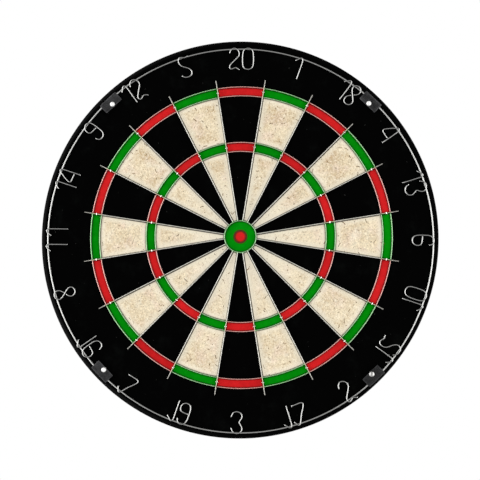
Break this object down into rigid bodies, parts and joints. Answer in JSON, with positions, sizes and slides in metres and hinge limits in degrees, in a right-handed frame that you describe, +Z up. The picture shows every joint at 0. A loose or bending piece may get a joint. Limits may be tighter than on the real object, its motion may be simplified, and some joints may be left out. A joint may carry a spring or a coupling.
{
  "type": "bristle dartboard",
  "caption": "Round wall-hung bristle dartboard: dyed sisal pad on a backing board, round-wire scoring spider, loose wire number ring under swivel clips, hanging screw and feet behind.",
  "frame": {"origin": "on the wall behind the centre of the disc, in the plane of the rear faces of the feet; the bull is 3 mm to the right of it and 1.2 mm up", "axes": "+Z up through the 20, +X to the right as seen from the front, +Y into the wall; the scoring face looks along -Y"},
  "size_m": [0.4478, 0.0537, 0.45],
  "materials": {
    "sisal": "dyed end-grain sisal fibre, matte",
    "chipboard": "black-painted chipboard",
    "band": "black enamel",
    "wire": "galvanised drawn wire",
    "bull_steel": "dull, stained",
    "clip_plastic": "satin",
    "nickel": "bright nickel plate",
    "zinc": "bright zinc plate",
    "rubber": "matte"
  },
  "bodies": {
    "board": {"backing_board": "chipboard", "sisal_pad": "sisal", "rim_band": "band", "band_strap": "band", "band_rivet_1": "band", "band_rivet_2": "band", "bull_band": "bull_steel", "wire_bull": "wire", "wire_treble_inner": "wire", "wire_treble_outer": "wire", "wire_double_inner": "wire", "wire_double_outer": "wire", "radial_wire_01": "wire", "radial_wire_02": "wire", "radial_wire_03": "wire", "radial_wire_04": "wire", "radial_wire_05": "wire", "radial_wire_06": "wire", "radial_wire_07": "wire", "radial_wire_08": "wire", "radial_wire_09": "wire", "radial_wire_10": "wire", "radial_wire_11": "wire", "radial_wire_12": "wire", "radial_wire_13": "wire", "radial_wire_14": "wire", "radial_wire_15": "wire", "radial_wire_16": "wire", "radial_wire_17": "wire", "radial_wire_18": "wire", "radial_wire_19": "wire", "radial_wire_20": "wire", "clip_pin_1": "nickel", "clip_pin_2": "nickel", "clip_pin_3": "nickel", "clip_pin_4": "nickel", "hanging_washer": "zinc", "hanging_screw": "zinc", "foot_1": "rubber", "foot_2": "rubber", "foot_3": "rubber", "foot_screw_1": "zinc", "foot_screw_2": "zinc", "foot_screw_3": "zinc"},
    "ring": {"number_ring": "wire"},
    "upper_right_clip": {"clip_1": "clip_plastic"},
    "upper_left_clip": {"clip_2": "clip_plastic"},
    "lower_left_clip": {"clip_3": "clip_plastic"},
    "lower_right_clip": {"clip_4": "clip_plastic"}
  },
  "joints": [
    {"name": "number_ring_slip", "type": "hinge", "parent": "board", "child": "ring", "pos_m": [0.0012, -0.04925, -0.0017], "axis": [0, -1, 0], "range_deg": [-0.25, 0.9]},
    {"name": "upper_right_clip_swivel", "type": "hinge", "parent": "board", "child": "upper_right_clip", "pos_m": [0.14708, -0.0505, 0.14936], "axis": [0, -1, 0], "range_deg": [-180, 0]},
    {"name": "upper_left_clip_swivel", "type": "hinge", "parent": "board", "child": "upper_left_clip", "pos_m": [-0.14202, -0.0505, 0.15188], "axis": [0, -1, 0], "range_deg": [0, 180]},
    {"name": "lower_left_clip_swivel", "type": "hinge", "parent": "board", "child": "lower_left_clip", "pos_m": [-0.14986, -0.0505, -0.14758], "axis": [0, -1, 0], "range_deg": [-180, 0]},
    {"name": "lower_right_clip_swivel", "type": "hinge", "parent": "board", "child": "lower_right_clip", "pos_m": [0.14839, -0.0505, -0.15148], "axis": [0, -1, 0], "range_deg": [0, 180]}
  ]
}
